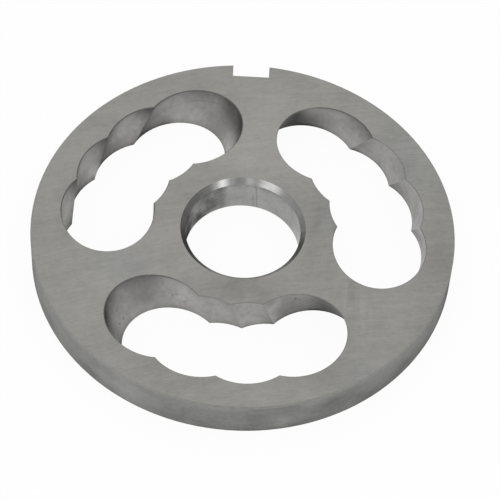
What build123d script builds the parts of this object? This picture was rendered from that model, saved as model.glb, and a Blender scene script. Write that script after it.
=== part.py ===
import os
from math import cos, radians, tan

from build123d import *

os.makedirs("parts", exist_ok=True)

# Coarse plate of a meat grinder: a steel disc with a hub bore, a key slot in the rim and
# three kidney-shaped openings, each drilled as a row of overlapping slanted bores.
# Origin: centre of the hub bore on the lower face. +Z is up, +Y points at the key slot.
# All lengths are in millimetres and all angles in degrees.

# Disc
plate_radius = 57.0
plate_thickness = 11.5
edge_break = 0.5

# Hub bore, with a 45 degree lead-in on the upper face
bore_radius = 15.5
lead_in = 1.4

# Key slot, open at the rim
key_slot_width = 10.2
key_slot_depth = 4.4

# Kidney openings
kidney_count = 3
bores_per_kidney = 4
drill_radius = 12.5
pitch_radius = 36.5
bore_step_angle = 20.0
drill_tilt = 25.0
first_bore_angle = 32.5
kidney_edge_break = 0.2

key_slot_angle = 90.0
first_bore_bearing = key_slot_angle + first_bore_angle
key_slot_floor = plate_radius - key_slot_depth

# A slanted bore needs this half length to clear both faces all round its rim.
drill_reach = plate_thickness / cos(radians(drill_tilt)) + drill_radius * tan(radians(drill_tilt)) + edge_break

with BuildPart() as kidney_plate:
    # Half section of the disc, turned about the Z axis.
    with BuildSketch(Plane.XZ):
        with BuildLine():
            Polyline(
                (bore_radius + edge_break, 0),
                (plate_radius - edge_break, 0),
                (plate_radius, edge_break),
                (plate_radius, plate_thickness - edge_break),
                (plate_radius - edge_break, plate_thickness),
                (bore_radius + lead_in, plate_thickness),
                (bore_radius, plate_thickness - lead_in),
                (bore_radius, edge_break),
                close=True,
            )
        make_face()
    revolve(axis=Axis.Z)

    # Key slot: square floored and cut through the full thickness.
    with BuildSketch():
        with Locations((0, key_slot_floor)):
            Rectangle(key_slot_width, 2 * key_slot_depth, align=(Align.CENTER, Align.MIN))
    extrude(amount=plate_thickness, mode=Mode.SUBTRACT)

    # Kidney openings. On the lower face each drill axis touches the pitch circle and points
    # along it, so the bores of one opening lean the same way round and leave ridges between them.
    for bore in range(bores_per_kidney):
        direction = first_bore_bearing + bore * bore_step_angle
        with PolarLocations(pitch_radius, kidney_count, start_angle=direction):
            with Locations(Rotation(drill_tilt, 0, 0)):
                Cylinder(drill_radius, 2 * drill_reach, mode=Mode.SUBTRACT)

    # The outlines of the openings are broken lightly on both faces. Only the hub outline is shorter.
    ground_faces = kidney_plate.faces().filter_by(GeomType.PLANE).sort_by(Axis.Z)
    outlines = ShapeList(ground_faces[0].inner_wires() + ground_faces[-1].inner_wires())
    chamfer(outlines.sort_by(SortBy.LENGTH)[-2 * kidney_count:].edges(), length=kidney_edge_break)

kidney_plate.part.label = "kidney_plate"
export_step(kidney_plate.part, "parts/kidney_plate.step")
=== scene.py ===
import math

import bpy
from mathutils import Euler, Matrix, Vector

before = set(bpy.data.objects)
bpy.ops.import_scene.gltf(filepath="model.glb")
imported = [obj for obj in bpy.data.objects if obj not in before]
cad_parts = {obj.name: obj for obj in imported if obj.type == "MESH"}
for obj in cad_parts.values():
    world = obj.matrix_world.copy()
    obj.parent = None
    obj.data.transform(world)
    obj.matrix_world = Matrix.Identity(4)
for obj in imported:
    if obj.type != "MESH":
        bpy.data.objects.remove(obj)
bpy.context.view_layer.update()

# Lengths are in mm and angles in degrees, up to where they are handed to Blender.
MM = 0.001
THICKNESS = 11.5
RIM_RADIUS = 57.0
BORE_RADIUS = 15.5
LEAD_IN_RADIUS = 16.9
SLOT_FLOOR = 52.6
SLOT_HALF = 5.1
EDGE_BREAK = 0.5
# The ridges between the bores of an opening: their spacing, the bearing of one at the lower
# face, and how far they swing back per mm of height.
RIDGE_STEP = 20.0
RIDGE_BEARING = 12.0
RIDGE_SWING = 0.7


def srgb(r, g, b):
    """Linear colour of an 8-bit screen colour."""
    def one(v):
        v /= 255.0
        return v / 12.92 if v <= 0.04045 else ((v + 0.055) / 1.055) ** 2.4
    return (one(r), one(g), one(b), 1.0)


STEEL = srgb(149, 148, 144)
STEEL_NEUTRAL = srgb(148, 148, 146)
RIM_DULL, RIM_CLEAN = srgb(124, 124, 122), srgb(138, 138, 136)
BREAK_DULL, BREAK_CLEAN = srgb(142, 142, 139), srgb(156, 156, 153)
BORE_STEEL = srgb(153, 153, 151)
LEAD_IN_STEEL = srgb(170, 170, 169)
WALL_STEEL = srgb(158, 157, 155)


def add_node(tree, kind, inputs=None, **settings):
    """A node with its settings and inputs. An input is a socket to link or a plain value."""
    made = tree.nodes.new(kind)
    for key, value in settings.items():
        setattr(made, key, value)
    for key, value in (inputs or {}).items():
        if isinstance(value, bpy.types.NodeSocket):
            tree.links.new(value, made.inputs[key])
        else:
            made.inputs[key].default_value = value
    return made


class Shader:
    """A material's node tree, built one node at a time."""

    def __init__(self, name):
        self.material = bpy.data.materials.new(name)
        self.material.use_nodes = True
        self.tree = self.material.node_tree
        self.tree.nodes.clear()
        coordinates = self.node("ShaderNodeTexCoord")
        self.normal = coordinates.outputs["Normal"]
        self.mm = self.vector("MULTIPLY", coordinates.outputs["Object"], (1.0 / MM,) * 3)
        self.x, self.y, self.z = self.node("ShaderNodeSeparateXYZ", {0: self.mm}).outputs

    def node(self, kind, inputs=None, **settings):
        return add_node(self.tree, kind, inputs, **settings)

    def math(self, operation, a, b=0.0, c=0.0):
        return self.node("ShaderNodeMath", {0: a, 1: b, 2: c}, operation=operation).outputs[0]

    def add(self, first, *others):
        for other in others:
            first = self.math("ADD", first, other)
        return first

    def times(self, first, *others):
        for other in others:
            first = self.math("MULTIPLY", first, other)
        return first

    def vector(self, operation, a, b=(0, 0, 0), output="Vector"):
        made = self.node("ShaderNodeVectorMath", {0: a, 1: b}, operation=operation)
        return made.outputs[output]

    def join(self, x, y, z):
        return self.node("ShaderNodeCombineXYZ", {0: x, 1: y, 2: z}).outputs[0]

    def grey(self, value):
        return self.join(value, value, value)

    def span(self, value, low, high, to_low=0.0, to_high=1.0, smooth=True):
        """value from low..high mapped to to_low..to_high and clamped."""
        return self.node(
            "ShaderNodeMapRange",
            {0: value, 1: low, 2: high, 3: to_low, 4: to_high},
            interpolation_type="SMOOTHSTEP" if smooth else "LINEAR",
        ).outputs[0]

    def sway(self, noise, much, low=0.2, high=0.8):
        """A noise value spread evenly over -much..much."""
        return self.span(noise, low, high, -much, much, smooth=False)

    def noise(self, at, scale, detail=3.0, rough=0.6):
        inputs = {"Vector": at, "Scale": scale, "Detail": detail, "Roughness": rough}
        return self.node("ShaderNodeTexNoise", inputs).outputs[0]

    def mix(self, share, a, b, blend="MIX"):
        inputs = {0: share, 6: a, 7: b}
        return self.node("ShaderNodeMix", inputs, data_type="RGBA", blend_type=blend).outputs[2]

    def shade(self, colour, factor):
        """colour times a grey factor."""
        return self.mix(1.0, colour, self.grey(factor), "MULTIPLY")

    def metal(self, colour, roughness, edge_tint=None, height=None, depth=0.02):
        """Bare metal. edge_tint dims what it mirrors at low angles. height is a bump, and depth
        says how many mm it stands for."""
        inputs = {"Base Color": colour, "Roughness": roughness, "Metallic": 1.0}
        if edge_tint is not None:
            inputs["Specular Tint"] = edge_tint
        if height is not None:
            bump = {"Height": height, "Distance": depth * MM, "Strength": 1.0}
            inputs["Normal"] = self.node("ShaderNodeBump", bump).outputs[0]
        surface = self.node("ShaderNodeBsdfPrincipled", inputs)
        self.node("ShaderNodeOutputMaterial", {"Surface": surface.outputs[0]})
        return self.material


def radius_of(s):
    """Distance from the axis of the bore."""
    return s.math("SQRT", s.add(s.times(s.x, s.x), s.times(s.y, s.y)))


def bearing_of(s):
    """Bearing round the axis of the bore, from +X towards +Y."""
    return s.times(s.math("ARCTAN2", s.y, s.x), 180.0 / math.pi)


def seamless(s, bearing, value):
    """A noise value, faded to its mean at -X, where the bearing jumps from 180 to -180."""
    keep = s.span(s.math("ABSOLUTE", bearing), 166.0, 179.0, 1.0, 0.0)
    return s.math("MULTIPLY_ADD", s.math("SUBTRACT", value, 0.5), keep, 0.5)


def blob(s, at, x, y, wide, deep):
    """1 in the middle of a soft oval patch and 0 outside it. at is a place on a plane."""
    away = s.vector("SUBTRACT", at, (x, y, 0))
    away = s.vector("MULTIPLY", away, (1.0 / wide, 1.0 / deep, 0.0))
    return s.span(s.vector("LENGTH", away, output="Value"), 1.0, 0.0)


def ball(s, place, reach, core=0.0):
    """1 in the core of a soft ball at a place and 0 beyond its reach, of which core is a share."""
    return s.span(s.vector("DISTANCE", s.mm, place, "Value"), reach, reach * core)


def paint_blobs(s, level, at, spots):
    """level with the change of each spot added to it."""
    for x, y, wide, deep, change in spots:
        level = s.math("MULTIPLY_ADD", blob(s, at, x, y, wide, deep), change, level)
    return level


# Soft patches of the upper face: x, y, half width, half depth, change of lightness.
POLISHED = (
    (4, 33, 20, 26, 0.15),
    (-26, -8, 26, 22, 0.05),
    (-42, -26, 16, 22, 0.08),
    (-39, -19, 10, 10, 0.06),
    (-18.5, 0, 5, 13, 0.05),
)
DARKER_PATCHES = (
    (0, 19, 9, 6, -0.07),
    (1, -20, 18, 9, -0.18),
    (24, -15, 12, 9, -0.06),
    (25, 3, 12, 20, -0.11),
    (54, -6, 18, 50, -0.10),
    (29, -41, 15, 14, -0.05),
    (21.5, -3, 5, 14, -0.035),
)
# Patches where the face has lost its warm tint: x, y, half width, half depth.
NEUTRAL = (
    (46, 30, 18, 26),
    (23, 9, 12, 16),
    (-31, -15, 14, 11),
    (33, -44, 12, 9),
)
# Patches rubbed across the grinding, in the same order.
RUBBED = (
    (25, 3, 13, 30),
    (30, -24, 12, 16),
)
# The lines that the grinding wheel left are flat arcs about this far point.
GRINDING_CENTRE = (90.0, -350.0)
GRINDING_RADIUS = 350.0
# How far noise moves the outlines of the patches, at most.
RAGGED = 7.0


def grinding(s):
    """Broad and fine grinding lines, as two noise values."""
    dx = s.math("SUBTRACT", s.x, GRINDING_CENTRE[0])
    dy = s.math("SUBTRACT", s.y, GRINDING_CENTRE[1])
    across = s.math("SQRT", s.add(s.times(dx, dx), s.times(dy, dy)))
    along = s.times(s.math("ARCTAN2", dx, dy), GRINDING_RADIUS)
    broad = s.noise(s.join(s.times(along, 0.07), across, 0.0), 0.4, 4.0, 0.7)
    fine = s.noise(s.join(s.times(along, 0.12), across, 7.0), 2.2, 2.0)
    return broad, fine


def ground_face(name, shift, patches, neutral, rubbed):
    """A ground face. shift moves its noise, so that the two faces differ."""
    s = Shader(name)
    broad, fine = grinding(s)
    moved = s.vector("ADD", s.mm, (shift, 0, 0))
    cloud = s.noise(moved, 0.07, 4.0, 0.65)
    grain = s.noise(moved, 0.6, 4.0, 0.7)
    waver = s.node("ShaderNodeTexNoise", {"Vector": moved, "Scale": 0.08, "Detail": 2.0})
    waver = s.vector("MULTIPLY", waver.outputs["Color"], (2 * RAGGED, 2 * RAGGED, 0.0))
    ragged = s.vector("ADD", s.vector("ADD", s.mm, waver), (-RAGGED, -RAGGED, 0.0))

    tint = s.span(cloud, 0.5, 0.8, 0.0, 0.3)
    for patch in neutral:
        tint = s.math("MAXIMUM", tint, blob(s, ragged, *patch))
    level = s.add(s.sway(broad, 0.11), s.sway(fine, 0.08))
    level = s.add(level, s.sway(cloud, 0.12), s.sway(grain, 0.11))
    smear = s.noise(s.join(s.x, s.times(s.y, 0.12), 4.0), 0.3)
    for patch in rubbed:
        level = s.add(level, s.times(blob(s, ragged, *patch), s.sway(smear, 0.12, 0.3, 0.7)))
    level = paint_blobs(s, level, ragged, patches)
    colour = s.shade(s.mix(tint, STEEL, STEEL_NEUTRAL), s.add(level, 1.0))

    rough = s.add(s.span(broad, 0.3, 0.7, 0.38, 0.46), s.span(grain, 0.3, 0.7, -0.03, 0.03))
    height = s.add(s.times(broad, 0.6), s.times(fine, 0.4))
    return s.metal(colour, rough, None, height, 0.012)


# Spots on the rim, painted reflections and painted shade along the foot among stains and rubbed
# places: bearing, height, half width in degrees, half height, change of lightness.
RIM_SPOTS = (
    (-9, 2, 14, 5, -0.28),
    (-7, 9, 12, 6, -0.16),
    (-148, 1, 18, 4, 0.24),
    (-125, 6, 9, 6, 0.07),
    (-100, 8, 12, 4, -0.08),
    (-65, 7, 8, 5, -0.11),
    (-76, 5, 7, 5, 0.16),
    (-92, 1, 25, 3, -0.06),
    (-82, 0, 36, 1.4, -0.16),
    (-135, 3, 16, 3, 0.06),
    (-14, 5, 8, 8, 0.06),
    (-33, 9, 14, 4, 0.10),
    (-58, 9, 12, 4, 0.06),
    (-23, 9, 8, 5, 0.18),
    (-160, 6, 10, 14, 0.30),
    (-120, 6, 6.5, 10, 0.26),
    (-80, 6, 6, 8, 0.20),
    (-104, 3, 7, 4, 0.12),
    (-92, 8, 8, 4, -0.10),
    (-66, 8, 7, 4, -0.08),
    (-41, 8, 7, 5, 0.14),
    (-29, 2, 10, 3, -0.12),
)
# Middle of the stretch of the rim that is drawn brighter.
BRIGHT_BEARING = -134.0


def turned_rim():
    s = Shader("turned_rim")
    bearing = bearing_of(s)
    around = s.times(bearing, RIM_RADIUS * math.pi / 180.0)
    lines = s.noise(s.join(s.times(around, 0.05), 0.0, s.z), 1.6, 3.0, 0.65)
    stain_and_shade = s.noise(s.join(around, 3.0, s.times(s.z, 1.3)), 0.08)
    grain = s.noise(s.join(around, 0.0, s.z), 0.9)
    lines, stain_and_shade, grain = (seamless(s, bearing, noise) for noise in (lines, stain_and_shade, grain))

    # Painted shade: darker towards the foot.
    level = s.span(s.z, 0.0, 10.5, 0.80, 1.12, smooth=False)
    level = s.add(s.sway(lines, 0.08, 0.25, 0.75), level, s.sway(grain, 0.09, 0.25, 0.75))
    # Painted shade: darker towards +X.
    level = s.times(level, s.span(s.x, 30.0, 55.0, 1.0, 0.88))
    brighter = s.span(s.math("ABSOLUTE", s.math("SUBTRACT", bearing, BRIGHT_BEARING)), 34.0, 12.0)
    level = s.math("MULTIPLY_ADD", brighter, 0.15, level)
    level = paint_blobs(s, level, s.join(bearing, s.z, 0.0), RIM_SPOTS)
    colour = s.shade(s.mix(s.span(stain_and_shade, 0.35, 0.65), RIM_DULL, RIM_CLEAN), level)

    rough = s.span(stain_and_shade, 0.35, 0.65, 0.52, 0.42)
    # The ends at -X and +X mirror less.
    edge_tint = s.grey(s.span(s.math("ABSOLUTE", s.x), 53.0, 57.0, 0.6, 0.25))
    return s.metal(colour, rough, edge_tint, s.add(lines, s.times(grain, 0.5)))


def broken_edge(name, level_of, tint):
    """A broken edge with small nicks. level_of gives its lightness, with painted highlight and
    shade.
    """
    s = Shader(name)
    nicks = s.noise(s.mm, 0.8)
    colour = s.shade(s.mix(s.span(nicks, 0.3, 0.7), BREAK_DULL, BREAK_CLEAN), level_of(s))
    return s.metal(colour, s.span(nicks, 0.3, 0.7, 0.6, 0.7), (tint, tint, tint, 1.0))


# Painted highlight: the break is drawn lighter, most of all towards -X, and a little more towards
# +X.
def rim_break_highlight(s):
    return s.add(s.span(s.x, -10.0, -50.0, 1.15, 1.30), s.span(s.x, 25.0, 50.0, 0.0, 0.12))


def painted_edge_shade(s):
    """1 where shade is painted along the outlines of the openings on the upper face."""
    left = s.times(s.span(s.x, 4.0, -4.0), s.span(s.y, -12.0, 0.0))
    right = ball(s, (28.0, 40.0, THICKNESS), 14.0, 0.5)
    right_end = ball(s, (9.5, 43.0, THICKNESS), 6.0, 0.5)
    front = ball(s, (-28.0, -23.5, THICKNESS), 16.0, 0.6)
    return s.math("MAXIMUM", left, s.math("MAXIMUM", s.math("MAXIMUM", right, right_end), front))


# Painted shade: the break is drawn darker along parts of the outlines of the openings.
def kidney_break_level(s):
    return s.span(painted_edge_shade(s), 0.0, 1.0, 1.15, 0.62)


# Lighter and darker spots in the hub bore: bearing, height, half width in degrees, half height,
# change of lightness.
BORE_SPOTS = (
    (117, 8.5, 10, 3.5, -0.12),
    (116, 3.5, 9, 4, 0.13),
    (141, 10, 9, 3, 0.14),
    (142, 6, 7, 4, -0.07),
    (150, 3.5, 16, 4, -0.12),
    (160, 6, 16, 8, -0.06),
    (104, 10, 10, 1.5, -0.10),
    (73, 2, 4, 2, -0.08),
    (80, 5, 8, 7, -0.08),
)
# Score marks along it: bearing at the lower face, length up the wall, change of lightness.
SCORES = (
    (76.6, 12.0, -0.26),
    (80.3, 7.0, -0.16),
)
# How far they swing per mm of height.
SCORE_SWING = 0.3
# Where the painted shade of the bore begins.
SHADE_BEARING = 106.0


def painted_bore_shade(s, bearing, cloud):
    """How much painted shade darkens the bore on its side towards -X: evenly where it begins,
    and more low down further round. A darker band of painted shade runs all round under the
    lead-in."""
    turn = s.math("FLOORED_MODULO", s.math("SUBTRACT", bearing, SHADE_BEARING), 360.0)
    low = s.grey(s.span(s.z, 7.0, 2.5, 0.33, 0.66))
    stain_and_shade = s.mix(s.span(turn, 22.0, 34.0), (0.46, 0.46, 0.46, 1.0), low)
    stain_and_shade = s.times(stain_and_shade, s.span(turn, 0.0, 9.0), s.span(turn, 120.0, 92.0))
    stain_and_shade = s.times(stain_and_shade, s.span(cloud, 0.3, 0.7, 1.2, 0.8))
    return s.add(stain_and_shade, s.span(s.z, 8.3, 10.1, 0.0, 0.16))


def bore_wall():
    s = Shader("bore_wall")
    bearing = bearing_of(s)
    around = s.times(bearing, BORE_RADIUS * math.pi / 180.0)
    cloud = s.noise(s.join(around, 5.0, s.z), 0.16)
    grain = s.noise(s.join(around, 2.0, s.z), 0.9)
    lines = s.noise(s.join(s.times(around, 0.05), 0.0, s.z), 2.6, 2.0)
    cloud, grain, lines = (seamless(s, bearing, noise) for noise in (cloud, grain, lines))

    level = s.add(s.span(lines, 0.3, 0.7, 0.98, 1.02), s.sway(grain, 0.12))
    level = s.add(level, s.span(cloud, 0.3, 0.7, -0.08, 0.08))
    level = s.math("SUBTRACT", level, painted_bore_shade(s, bearing, cloud))
    level = paint_blobs(s, level, s.join(bearing, s.z, 0.0), BORE_SPOTS)
    # The darker parts, painted shade included, and the side at -X mirror less at low angles.
    glance = s.span(level, 0.3, 1.0, 0.75, 1.0)
    glance = s.times(glance, s.span(s.math("ABSOLUTE", bearing), 150.0, 168.0, 1.0, 0.3))

    leaning = s.math("MULTIPLY_ADD", s.z, -SCORE_SWING, bearing)
    leaning = s.add(leaning, s.span(cloud, 0.3, 0.7, -0.5, 0.5))
    for at, length, change in SCORES:
        score = s.span(s.math("ABSOLUTE", s.math("SUBTRACT", leaning, at)), 1.2, 0.2)
        score = s.times(score, s.span(s.z, length, length - 2.0))
        level = s.math("MULTIPLY_ADD", score, change, level)
    rough = s.span(cloud, 0.3, 0.7, 0.42, 0.34)
    return s.metal(s.shade(BORE_STEEL, level), rough, s.grey(glance), lines, 0.01)


# Painted reflections on the lead-in, bright and dark streaks: x, y, half width, half depth, change
# of lightness.
LEAD_IN_REFLECTIONS = (
    (-1.9, 16, 1.7, 9, -0.22),
    (1.1, 16, 1.7, 9, 0.5),
    (-6.4, 15, 1.6, 5, 0.16),
)


def lead_in():
    s = Shader("lead_in")
    radius, bearing = radius_of(s), bearing_of(s)
    lines = s.noise(s.join(s.times(bearing, 0.03), 0.0, radius), 3.0, 2.0)
    patchy = s.noise(s.join(s.times(bearing, 0.15), 0.0, s.times(radius, 0.1)), 1.0, 2.0, 0.5)
    lines, patchy = seamless(s, bearing, lines), seamless(s, bearing, patchy)
    level = s.add(s.span(lines, 0.2, 0.8, 0.85, 1.15, smooth=False), s.sway(patchy, 0.12))
    # Painted shade: the sides are darker, most of all at -X.
    level = s.times(level, s.span(s.x, -6.5, -10.5, 1.0, 0.52), s.span(s.x, 6.0, 11.0, 1.0, 0.92))
    level = paint_blobs(s, level, s.mm, LEAD_IN_REFLECTIONS)
    return s.metal(s.shade(LEAD_IN_STEEL, level), 0.25, (0.35, 0.35, 0.35, 1.0))


# Painted highlights and painted shade on the walls of the openings: x, y, z, reach, change of
# lightness.
WALL_LIGHT_AND_SHADE = (
    # Opening at -X.
    (-4, 38, 11, 11, -0.16),
    (-25.4, 41.6, 9, 5, 0.12),
    (-28.4, 38.9, 4, 6, 0.20),
    (-24, 43, 0.5, 5, -0.24),
    (-15, 43.5, 0.5, 6, 0.12),
    (-16, 45, 7, 7, -0.06),
    (-10, 45, 9.5, 5, 0.12),
    (-4.9, 35.4, 4, 5, 0.08),
    (-36.8, 32.2, 1.5, 6, -0.34),
    (-33, 35, 3.5, 6, -0.15),
    (-43.8, 22.5, 10, 6, 0.10),
    (-45, 19, 1, 7, -0.34),
    (-42.2, 22.6, 3, 4, 0.16),
    (-48.6, 4.5, 5, 8, -0.16),
    # Front opening.
    (-32, -22, 10, 5, 0.16),
    (-31.3, -31, 2, 6, -0.22),
    (-33.4, -30.6, 8, 5, -0.10),
    (-24.5, -19.3, 5, 7, -0.20),
    (-19.6, -17.9, 8.7, 5, 0.10),
    (-18, -19.5, 0.5, 6, -0.12),
    (-13.5, -20, 7, 6, 0.15),
    (3, -24.2, 6.5, 6, -0.09),
    (13.3, -20.8, 9, 5, -0.12),
    (11, -21.8, 5, 8, -0.16),
    (12.5, -21, 2, 7, -0.30),
    (24, -20, 4, 9, -0.10),
    # Opening at +X.
    (30, 38, 12, 8, -0.15),
    (21, 43, 5, 10, -0.08),
    (11, 42, 8, 6, -0.2),
    (19.5, 44, 1.5, 8, -0.26),
    (16, 43.7, 11, 6, 0.12),
    (24.5, 42.3, 9, 8, -0.10),
    (42.4, 22.4, 3, 5, -0.12),
    (47, 13.5, 4.5, 6, -0.10),
    (48.3, 2.5, 4, 8, -0.12),
    # Smaller ones in all three.
    (-48.1, 4.6, 1.5, 4, -0.28),
    (-46, 16.5, 0.5, 5, -0.18),
    (-32.7, -33.1, 6.5, 4, -0.25),
    (-41.3, 23.5, 1.5, 4, 0.24),
    (-3.2, 40.2, 11.3, 4, 0.2),
    (-30.5, 37, 1, 5, 0.16),
    (8.3, 42, 7, 4.5, -0.14),
    (7.8, -23.9, 10.5, 3.3, -0.24),
    (-29.6, 38.6, 11.2, 4, -0.16),
    (-22.8, 43.1, 0.7, 4, -0.14),
)
# Small pits in them: x, y, z and radius.
PITS = (
    (-30.4, -25.6, 3.0, 0.45),
    (-31.3, -27.6, 3.3, 0.35),
    (-32.2, -25.6, 6.5, 0.3),
    (-16.8, -18.8, 5.5, 0.35),
    (-17.8, -18.7, 5.1, 0.25),
    (-14.6, -19.6, 3.6, 0.3),
    (-13.8, -19.9, 4.5, 0.25),
    (14.8, -20.3, 8.8, 0.4),
    (15.9, -20.0, 7.9, 0.3),
)
# A pit's soft edge reaches out to this share of its radius.
PIT_EDGE = 1.4


def painted_wall_shade(s, high):
    """How much painted shade darkens the bores: where they lean over, under the upper edge
    where they lean back, beside the ridges of the opening at -X, along the foot and the upper
    outline, and at the ends of the openings. high is the height as a share of the thickness."""
    side, away, lean = s.node("ShaderNodeSeparateXYZ", {0: s.normal}).outputs
    under = s.span(lean, 0.18, -0.34)
    under = s.times(under, under, s.span(high, 0.0, 1.0, 0.9, 0.3, smooth=False))
    under = s.times(under, s.span(side, -0.75, 0.35, 0.5, 1.0))
    deep = s.times(s.span(lean, -0.22, -0.40), s.span(high, 0.0, 1.0, 0.2, 0.45, smooth=False))
    below = s.times(s.span(lean, 0.02, 0.36), s.span(high, 0.5, 1.0, -0.06, 0.27))

    # How far round a bore is from its ridge, in degrees.
    phase = s.math("SUBTRACT", bearing_of(s), RIDGE_BEARING)
    phase = s.math("FLOORED_MODULO", s.math("MULTIPLY_ADD", s.z, RIDGE_SWING, phase), RIDGE_STEP)
    beside = s.math("MAXIMUM", s.span(phase, 5.0, 17.0), s.span(phase, 3.5, 0.0, 0.0, 0.6))
    at_left = s.times(s.span(s.x, -15.0, -22.0), s.span(s.y, -15.0, 0.0))
    at_left = s.times(at_left, s.span(high, 0.0, 1.0, 0.69, 0.22, smooth=False))
    beside = s.times(beside, at_left)

    foot = s.add(s.span(high, 0.22, 0.0, 0.0, 0.18), s.span(high, 0.12, 0.0, 0.0, 0.12))
    edge = s.add(foot, s.span(high, 0.93, 1.0, 0.0, 0.12))
    wall_shade = s.add(s.add(s.add(under, deep), s.add(below, beside)), edge)
    wall_shade = s.math("MULTIPLY_ADD", painted_edge_shade(s), s.span(high, 0.8, 1.0, 0.0, 0.11), wall_shade)
    return s.add(wall_shade, s.times(s.span(away, -0.25, 0.15, 0.0, 0.3), s.span(side, 0.0, 0.5)))


def drill_ring(s):
    """1 on a faint ring that the drill left in the first bore of the opening at -X."""
    ring = s.math("MULTIPLY_ADD", s.x, 0.15, 10.2)
    ring = s.span(s.math("ABSOLUTE", s.math("SUBTRACT", s.z, ring)), 0.45, 0.1)
    ring = s.times(ring, s.times(s.span(s.x, -20.0, -15.0), s.span(s.x, -5.0, -10.0)))
    return s.times(ring, s.span(s.y, 38.0, 42.0))


def bored_wall():
    s = Shader("bored_wall")
    high = s.math("DIVIDE", s.z, THICKNESS)
    cloud = s.noise(s.mm, 0.11, 4.0)
    grain = s.noise(s.vector("MULTIPLY", s.mm, (1.0, 1.0, 0.7)), 0.8, 4.0, 0.65)
    # Painted shade: a little darker towards +X, and darker where the shade of the bores is
    # painted.
    level = s.math("SUBTRACT", s.span(s.x, 15.0, 30.0, 1.0, 0.95), painted_wall_shade(s, high))
    for x, y, z, reach, change in WALL_LIGHT_AND_SHADE:
        level = s.math("MULTIPLY_ADD", ball(s, (x, y, z), reach), change, level)
    level = s.math("MULTIPLY_ADD", drill_ring(s), -0.13, level)
    level = s.math("MAXIMUM", level, 0.1)
    level = s.times(level, s.span(cloud, 0.2, 0.8, 0.86, 1.14, smooth=False))
    level = s.times(level, s.span(grain, 0.2, 0.8, 0.84, 1.16, smooth=False))
    pit = 0.0
    for x, y, z, radius in PITS:
        pit = s.math("MAXIMUM", pit, ball(s, (x, y, z), radius * PIT_EDGE, 0.4))
    level = s.math("MULTIPLY_ADD", pit, -0.3, level)
    # Where painted shade darkens the steep sides, they also mirror less at low angles.
    glance = s.grey(s.span(level, 0.1, 1.0, 0.6, 1.0))
    height = s.math("SUBTRACT", s.times(grain, 0.3), pit)
    rough = s.span(cloud, 0.3, 0.7, 0.46, 0.38)
    return s.metal(s.shade(WALL_STEEL, level), rough, glance, height, 0.03)


ZONES = {
    "upper_face": ground_face("ground_upper", 0.0, POLISHED + DARKER_PATCHES, NEUTRAL, RUBBED),
    "lower_face": ground_face("ground_lower", 90.0, (), (), ()),
    "rim": turned_rim(),
    "break": broken_edge("edge_break", rim_break_highlight, 0.7),
    "kidney_break": broken_edge("kidney_break", kidney_break_level, 0.6),
    "bore": bore_wall(),
    "lead_in": lead_in(),
    "wall": bored_wall(),
}
# How far the middle of a polygon may be off the true surface.
SLACK = 0.05
# How much a polygon's normal points up or down: more than this on the two faces, less than this
# on the turned walls, and less than this on the slanted ones.
FACE_UP = 0.99
TURNED_UP = 0.1
SLANTED_UP = 0.5


def zone_of(polygon):
    """The zone that a polygon of the plate belongs to. The key slot has the look of the rim."""
    centre = polygon.center / MM
    radius = math.hypot(centre.x, centre.y)
    up = polygon.normal.z
    if abs(up) > FACE_UP:
        return "upper_face" if up > 0 else "lower_face"
    in_slot = abs(centre.x) < SLOT_HALF + SLACK and centre.y > SLOT_FLOOR - SLACK
    if in_slot and radius < RIM_RADIUS - EDGE_BREAK - SLACK:
        return "rim"
    if radius > RIM_RADIUS - EDGE_BREAK - 2 * SLACK:
        return "rim" if abs(up) < TURNED_UP else "break"
    if radius < LEAD_IN_RADIUS + SLACK:
        if abs(up) < TURNED_UP:
            return "bore"
        return "lead_in" if up > 0 else "break"
    return "wall" if abs(up) < SLANTED_UP else "kidney_break"


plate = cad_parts["kidney_plate"]
plate.data.materials.clear()
for material in ZONES.values():
    plate.data.materials.append(material)
order = list(ZONES)
for polygon in plate.data.polygons:
    polygon.material_index = order.index(zone_of(polygon))


# The floor is white and keeps the plate's soft shadow. It lies a little below the plate.
FLOOR_REACH = 4000.0 * MM
FLOOR_DROP = 0.05 * MM
FLOOR_COLOUR = (0.95, 0.95, 0.95, 1.0)
# How much of the floor is plain white to the camera and in what the metal mirrors.
FLOOR_WHITE = 0.95


def floor_material():
    material = bpy.data.materials.new("white_floor")
    material.use_nodes = True
    tree = material.node_tree
    tree.nodes.clear()
    paper = add_node(tree, "ShaderNodeBsdfDiffuse", {"Color": FLOOR_COLOUR}).outputs[0]
    white = add_node(tree, "ShaderNodeEmission", {"Strength": 1.0}).outputs[0]
    ray = add_node(tree, "ShaderNodeLightPath").outputs
    seen = ray["Is Camera Ray"]
    for kind in ("Is Glossy Ray", "Is Transmission Ray"):
        inputs = {0: seen, 1: ray[kind]}
        seen = add_node(tree, "ShaderNodeMath", inputs, operation="MAXIMUM").outputs[0]
    inputs = {0: seen, 1: FLOOR_WHITE}
    share = add_node(tree, "ShaderNodeMath", inputs, operation="MULTIPLY").outputs[0]
    surface = add_node(tree, "ShaderNodeMixShader", {0: share, 1: paper, 2: white})
    add_node(tree, "ShaderNodeOutputMaterial", {"Surface": surface.outputs[0]})
    return material


floor_mesh = bpy.data.meshes.new("floor")
corners = ((-1, -1), (1, -1), (1, 1), (-1, 1))
corners = [(FLOOR_REACH * x, FLOOR_REACH * y, 0.0) for x, y in corners]
floor_mesh.from_pydata(corners, [], [(0, 1, 2, 3)])
floor_mesh.materials.append(floor_material())
floor = bpy.data.objects.new("floor", floor_mesh)
floor.location.z = -FLOOR_DROP
bpy.context.scene.collection.objects.link(floor)


# Darker parts of the room, one behind the camera and one low on each side: direction, cosine of
# the angle where each begins, cosine where it is at its full level, and the level.
DARKER = (
    ((0.05, -0.85, 0.5), 0.75, 0.96, 0.62),
    ((1.0, 0.0, 0.12), 0.6, 0.97, 0.65),
    ((-1.0, 0.05, 0.25), 0.6, 0.97, 0.7),
)


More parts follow.
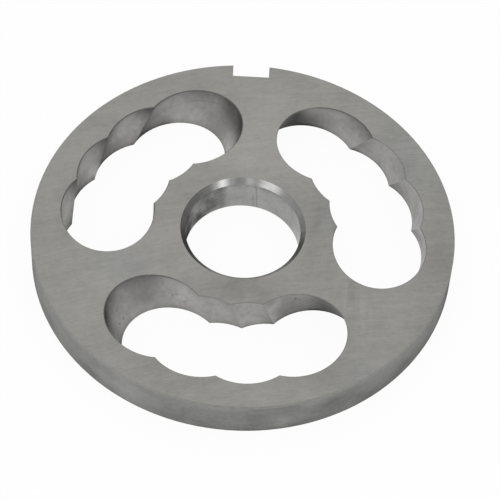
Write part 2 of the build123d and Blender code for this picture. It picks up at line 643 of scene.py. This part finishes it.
def light_room():
    """A soft white room as the world, lighter above than at the horizon."""
    world = bpy.data.worlds.new("room")
    bpy.context.scene.world = world
    world.use_nodes = True
    tree = world.node_tree
    tree.nodes.clear()

    def ramp(value, low, high, to_low, to_high):
        inputs = {0: value, 1: low, 2: high, 3: to_low, 4: to_high}
        made = add_node(tree, "ShaderNodeMapRange", inputs, interpolation_type="SMOOTHSTEP")
        return made.outputs[0]

    sky = add_node(tree, "ShaderNodeTexCoord").outputs["Generated"]
    rise = add_node(tree, "ShaderNodeSeparateXYZ", {0: sky}).outputs["Z"]
    strength = ramp(rise, -0.05, 0.7, 0.85, 1.25)
    for direction, begin, full, level in DARKER:
        inputs = {0: sky, 1: Vector(direction).normalized()}
        aim = add_node(tree, "ShaderNodeVectorMath", inputs, operation="DOT_PRODUCT")
        inputs = {0: strength, 1: ramp(aim.outputs["Value"], begin, full, 1.0, level)}
        strength = add_node(tree, "ShaderNodeMath", inputs, operation="MULTIPLY").outputs[0]
    room = add_node(tree, "ShaderNodeBackground", {"Strength": strength})
    add_node(tree, "ShaderNodeOutputWorld", {"Surface": room.outputs[0]})


def softbox(name, azimuth, elevation, distance, width, height, radiance):
    """A soft lamp that faces the plate. Azimuth 0 is in front (-Y) and 90 to the right (+X).
    Its distance, width and height are in m."""
    lamp = bpy.data.lights.new(name, "AREA")
    lamp.shape = "RECTANGLE"
    lamp.size = width
    lamp.size_y = height
    lamp.energy = radiance * math.pi * width * height
    made = bpy.data.objects.new(name, lamp)
    a, e = math.radians(azimuth), math.radians(elevation)
    away = Vector((math.sin(a) * math.cos(e), -math.cos(a) * math.cos(e), math.sin(e)))
    made.location = away * distance
    made.rotation_euler = away.to_track_quat("Z", "Y").to_euler()
    bpy.context.scene.collection.objects.link(made)


light_room()
softbox("front_right", 38.0, 33.0, 1.5, 0.26, 0.42, 1.9)
softbox("front_left", -41.0, 33.0, 1.5, 0.66, 0.42, 1.0)


# The camera, fitted to the outlines in the photo.
CAMERA_PLACE = (-1.348, -374.511, 525.239)
CAMERA_TURN = (35.5064, -2.0282, 2.2963)
camera_data = bpy.data.cameras.new("camera")
camera_data.sensor_width = 36.0
camera_data.lens = 170.435
camera_data.clip_end = 20.0
camera = bpy.data.objects.new("camera", camera_data)
camera.location = Vector(CAMERA_PLACE) * MM
camera.rotation_euler = Euler([math.radians(angle) for angle in CAMERA_TURN], "XYZ")
bpy.context.scene.collection.objects.link(camera)
bpy.context.scene.camera = camera

bpy.context.scene.view_settings.view_transform = "Standard"
